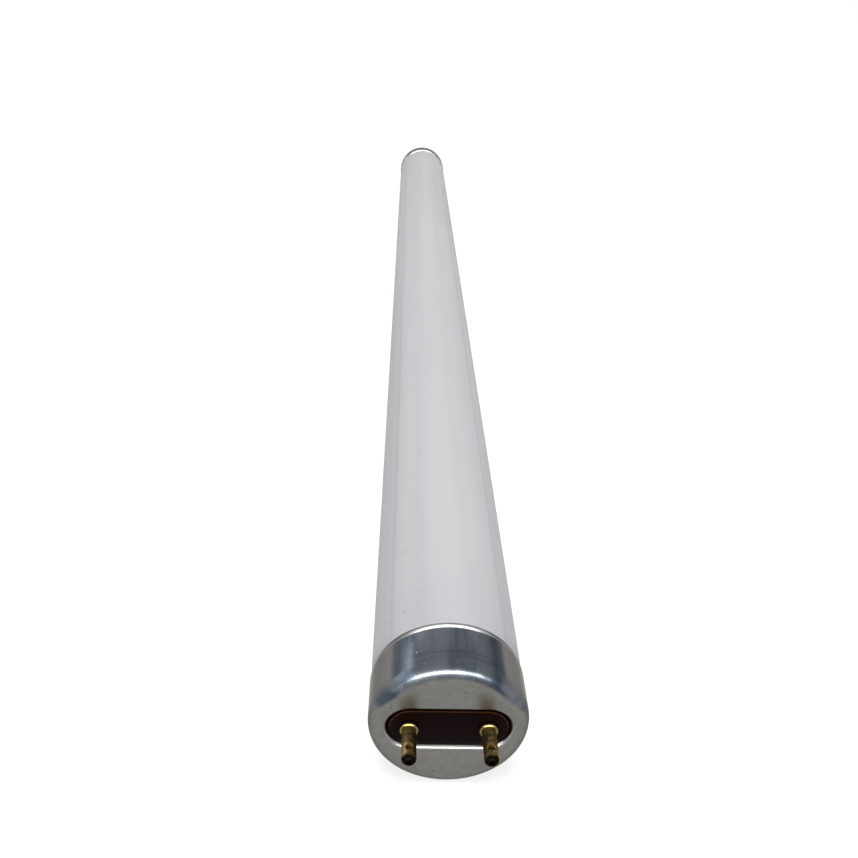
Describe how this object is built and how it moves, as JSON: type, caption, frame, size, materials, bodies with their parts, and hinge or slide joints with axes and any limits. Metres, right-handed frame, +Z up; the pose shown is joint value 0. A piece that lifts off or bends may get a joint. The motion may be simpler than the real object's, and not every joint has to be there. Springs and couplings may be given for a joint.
{
  "type": "fluorescent tube",
  "caption": "Straight tubular fluorescent lamp, 26 mm in diameter, with an aluminium two-pin cap at each end.",
  "frame": {"origin": "middle of the lamp, on the axis of the glass tube", "axes": "+Y along the tube toward the far end, -Y out of the pictured end; +X to the right as the pictured end is faced, with both pairs of pins spaced along X; +Z up, the side of each pin that carries the crimp"},
  "size_m": [0.026, 0.4504, 0.026],
  "materials": {
    "phosphor_coated_glass": null,
    "drawn_aluminium": "satin drawn sheet with fine scratches and small dark specks",
    "dark_phenolic": "near-black brown pressed insulating board, slightly shiny",
    "aged_brass": "dulled, tarnished brass, darker toward the pin's end",
    "basing_cement": "baked, matt, grainy basing cement",
    "nickel_wire": "drawn plated lead wire"
  },
  "bodies": {
    "root": {"glass_tube": "phosphor_coated_glass", "near_end_cap": "drawn_aluminium", "near_insulator": "dark_phenolic", "near_cement_ring": "basing_cement", "near_left_pin": "aged_brass", "near_left_lead_wire": "nickel_wire", "near_right_pin": "aged_brass", "near_right_lead_wire": "nickel_wire", "far_end_cap": "drawn_aluminium", "far_insulator": "dark_phenolic", "far_cement_ring": "basing_cement", "far_left_pin": "aged_brass", "far_left_lead_wire": "nickel_wire", "far_right_pin": "aged_brass", "far_right_lead_wire": "nickel_wire"}
  },
  "joints": []
}
